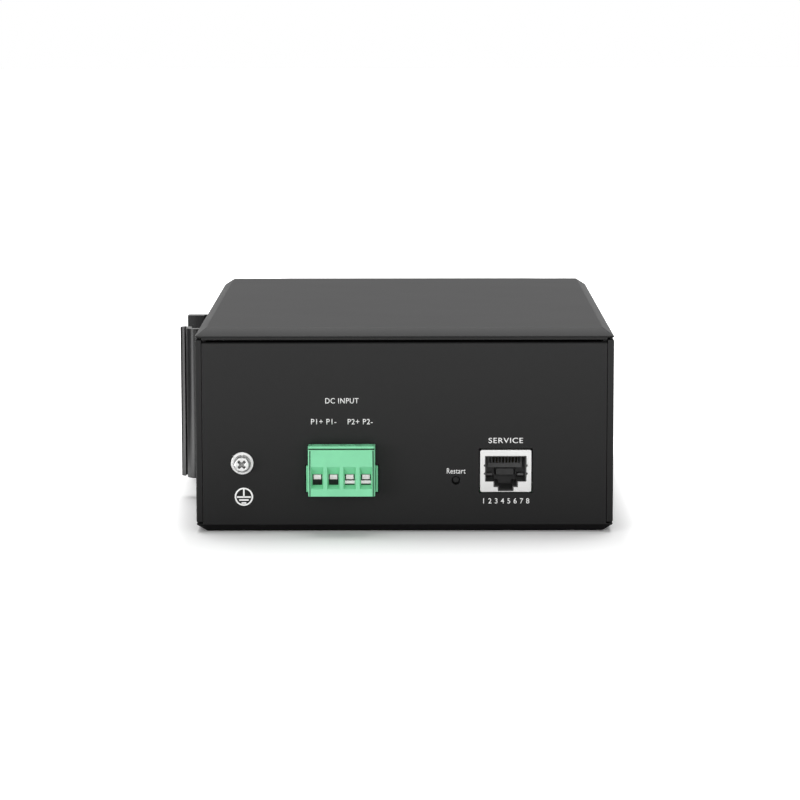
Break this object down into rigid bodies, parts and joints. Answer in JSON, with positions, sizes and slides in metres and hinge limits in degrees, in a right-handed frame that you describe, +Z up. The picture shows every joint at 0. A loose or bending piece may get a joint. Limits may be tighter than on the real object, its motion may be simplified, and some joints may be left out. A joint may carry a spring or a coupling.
{
  "type": "industrial ethernet switch",
  "caption": "Black rail-mount network switch in a bevelled sheet case, with a pluggable green power terminal, console jack, ground screw, rail clip and a port side for network plugs.",
  "frame": {"origin": "middle of the flat bottom face that the switch lies on", "axes": "+Z up from the flat bottom, +Y from the power end to the far end, +X from the rail side to the port side"},
  "size_m": [0.1416, 0.168, 0.0648],
  "materials": {
    "case_paint": "satin black powder coat",
    "clip_metal": "black anodised, bare at the sawn ends",
    "zinc": "zinc plated",
    "black_screws": "blackened",
    "spring_steel": "bright",
    "jack_shell": "nickel plated, satin",
    "terminal_green": "smooth moulded",
    "black_plastic": "moulded",
    "comb_plastic": "moulded",
    "contact_metal": "gold plated",
    "tinned_metal": "tin plated",
    "reset_plastic": "moulded",
    "light_plastic": "translucent",
    "board_laminate": "solder mask",
    "bare_aluminium": "as extruded",
    "can_sleeve": "shrink sleeve",
    "pad": "soft"
  },
  "bodies": {
    "housing": {"board_screws": "zinc", "board_standoffs": "zinc", "bulk_capacitors": "can_sleeve", "case_screws": "black_screws", "chassis": "case_paint", "clip_screws": "black_screws", "console_jack_comb": "comb_plastic", "console_jack_contacts": "contact_metal", "console_jack_insert": "black_plastic", "console_jack_shell": "jack_shell", "ground_flat_washer": "zinc", "ground_lock_washer": "zinc", "ground_nut": "zinc", "ground_screw": "zinc", "header_pins": "tinned_metal", "heat_sink": "bare_aluminium", "isolated_converter": "black_plastic", "main_board": "board_laminate", "memory_chip": "black_plastic", "module_cage": "jack_shell", "module_connectors": "black_plastic", "port_block_insert": "black_plastic", "port_block_shell": "jack_shell", "port_contacts": "contact_metal", "port_light_pipes": "light_plastic", "port_panel": "case_paint", "port_transformers": "black_plastic", "power_controllers": "black_plastic", "power_inductors": "black_plastic", "rail_clip": "clip_metal", "rail_spring": "spring_steel", "rear_wall": "case_paint", "reset_switch_body": "black_plastic", "status_light_holder": "black_plastic", "status_lights": "light_plastic", "switch_chip": "black_plastic", "terminal_header": "terminal_green", "thermal_pad": "pad", "top_cover": "case_paint"},
    "plug": {"terminal_plug": "terminal_green", "plug_contacts": "tinned_metal"},
    "reset_button": {"reset_plunger": "reset_plastic"},
    "clamp_screw_1": {"clamp_screw_1": "zinc"},
    "clamp_cage_1": {"clamp_cage_1": "zinc"},
    "clamp_screw_2": {"clamp_screw_2": "zinc"},
    "clamp_cage_2": {"clamp_cage_2": "zinc"},
    "clamp_screw_3": {"clamp_screw_3": "zinc"},
    "clamp_cage_3": {"clamp_cage_3": "zinc"},
    "clamp_screw_4": {"clamp_screw_4": "zinc"},
    "clamp_cage_4": {"clamp_cage_4": "zinc"}
  },
  "joints": [
    {"name": "plug_pull", "type": "slide", "parent": "housing", "child": "plug", "axis": [0, -1, 0], "range_m": [0, 0.012]},
    {"name": "reset_press", "type": "slide", "parent": "housing", "child": "reset_button", "axis": [0, 1, 0], "range_m": [0, 0.0003], "stiffness_N_per_m": 2000},
    {"name": "clamp_1_turn", "type": "hinge", "parent": "plug", "child": "clamp_screw_1", "pos_m": [-0.02732, -0.0836, 0.02455], "axis": [0, 0, -1], "range_deg": [-1, 2161]},
    {"name": "clamp_1_rise", "type": "slide", "parent": "plug", "child": "clamp_cage_1", "axis": [0, 0, 1], "range_m": [0, 0.0027]},
    {"name": "clamp_2_turn", "type": "hinge", "parent": "plug", "child": "clamp_screw_2", "pos_m": [-0.02224, -0.0836, 0.02455], "axis": [0, 0, -1], "range_deg": [-1, 2161]},
    {"name": "clamp_2_rise", "type": "slide", "parent": "plug", "child": "clamp_cage_2", "axis": [0, 0, 1], "range_m": [0, 0.0027]},
    {"name": "clamp_3_turn", "type": "hinge", "parent": "plug", "child": "clamp_screw_3", "pos_m": [-0.01716, -0.0836, 0.02455], "axis": [0, 0, -1], "range_deg": [-2081, 81]},
    {"name": "clamp_3_rise", "type": "slide", "parent": "plug", "child": "clamp_cage_3", "axis": [0, 0, 1], "range_m": [-0.0026, 0.0001]},
    {"name": "clamp_4_turn", "type": "hinge", "parent": "plug", "child": "clamp_screw_4", "pos_m": [-0.01208, -0.0836, 0.02455], "axis": [0, 0, -1], "range_deg": [-2081, 81]},
    {"name": "clamp_4_rise", "type": "slide", "parent": "plug", "child": "clamp_cage_4", "axis": [0, 0, 1], "range_m": [-0.0026, 0.0001]}
  ],
  "couplings": [
    {"joint": "clamp_1_turn", "follows": "clamp_1_rise", "rad_per_m": 13963},
    {"joint": "clamp_2_turn", "follows": "clamp_2_rise", "rad_per_m": 13963},
    {"joint": "clamp_3_turn", "follows": "clamp_3_rise", "rad_per_m": 13963},
    {"joint": "clamp_4_turn", "follows": "clamp_4_rise", "rad_per_m": 13963}
  ]
}
